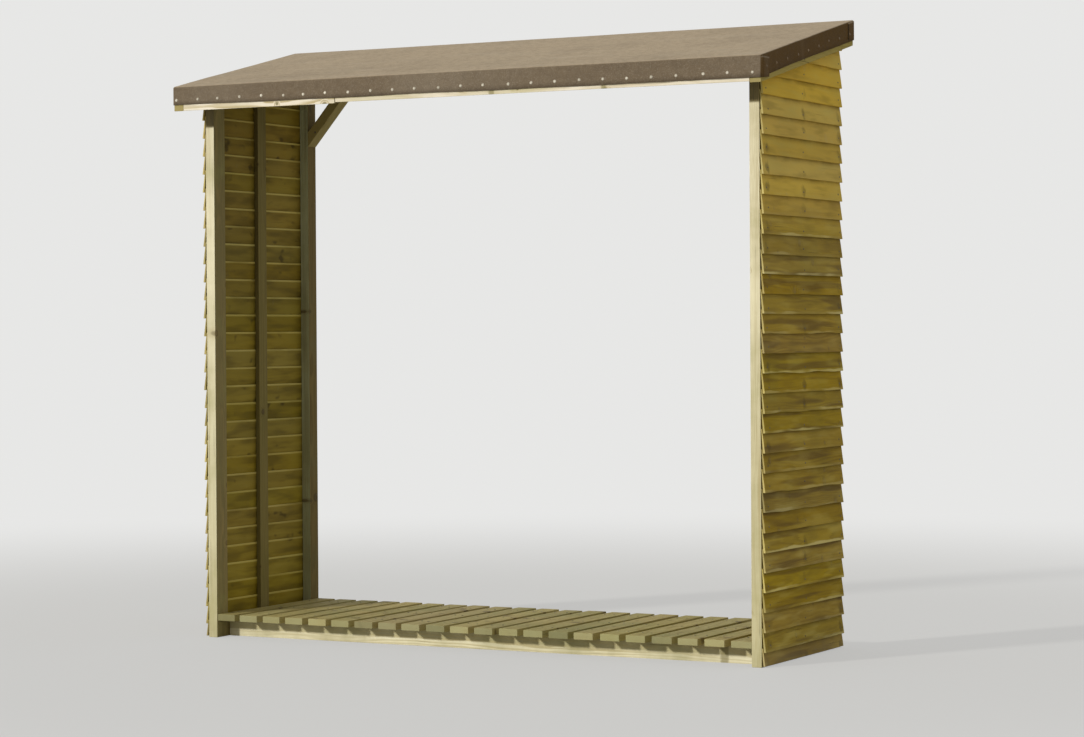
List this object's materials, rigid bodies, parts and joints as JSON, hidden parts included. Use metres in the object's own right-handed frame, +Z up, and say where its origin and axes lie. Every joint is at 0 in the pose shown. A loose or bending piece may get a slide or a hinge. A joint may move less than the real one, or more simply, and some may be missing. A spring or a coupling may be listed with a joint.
{
  "type": "log store",
  "caption": "Open-fronted and open-backed timber log store with lapped side walls, a slatted floor on bearers and a felted lean-to roof that falls to the front.",
  "frame": {"origin": "on the ground, under the middle of the bounding box", "axes": "+X to the right seen from the front, +Y from the open front to the back, +Z up"},
  "size_m": [1.897, 0.659, 1.7911],
  "materials": {
    "post": "rough sawn, pressure treated, pale green",
    "frame": "rough sawn, pressure treated",
    "cladding": "rough sawn, pressure treated, olive",
    "slat": "rough sawn, pressure treated, green",
    "bearer": "rough sawn, pale",
    "fascia": "rough sawn, pale",
    "roof_board": "rough sawn",
    "felt": "mineral roofing felt, grey-brown grit"
  },
  "bodies": {
    "root": {"left_front_post": "post", "right_front_post": "post", "left_back_post": "post", "right_back_post": "post", "left_middle_stud": "frame", "right_middle_stud": "frame", "left_bottom_rail": "frame", "right_bottom_rail": "frame", "left_top_rail": "frame", "right_top_rail": "frame", "back_top_rail": "frame", "left_corner_brace": "frame", "right_corner_brace": "frame", "middle_rafter": "frame", "roof_back_rail": "frame", "left_cladding": "cladding", "right_cladding": "cladding", "floor_slats": "slat", "front_bearer": "bearer", "middle_bearer": "bearer", "back_bearer": "bearer", "roof_front_rail": "fascia", "roof_left_rail": "fascia", "roof_right_rail": "fascia", "roof_boards": "roof_board", "roof_felt": "felt"}
  },
  "joints": []
}
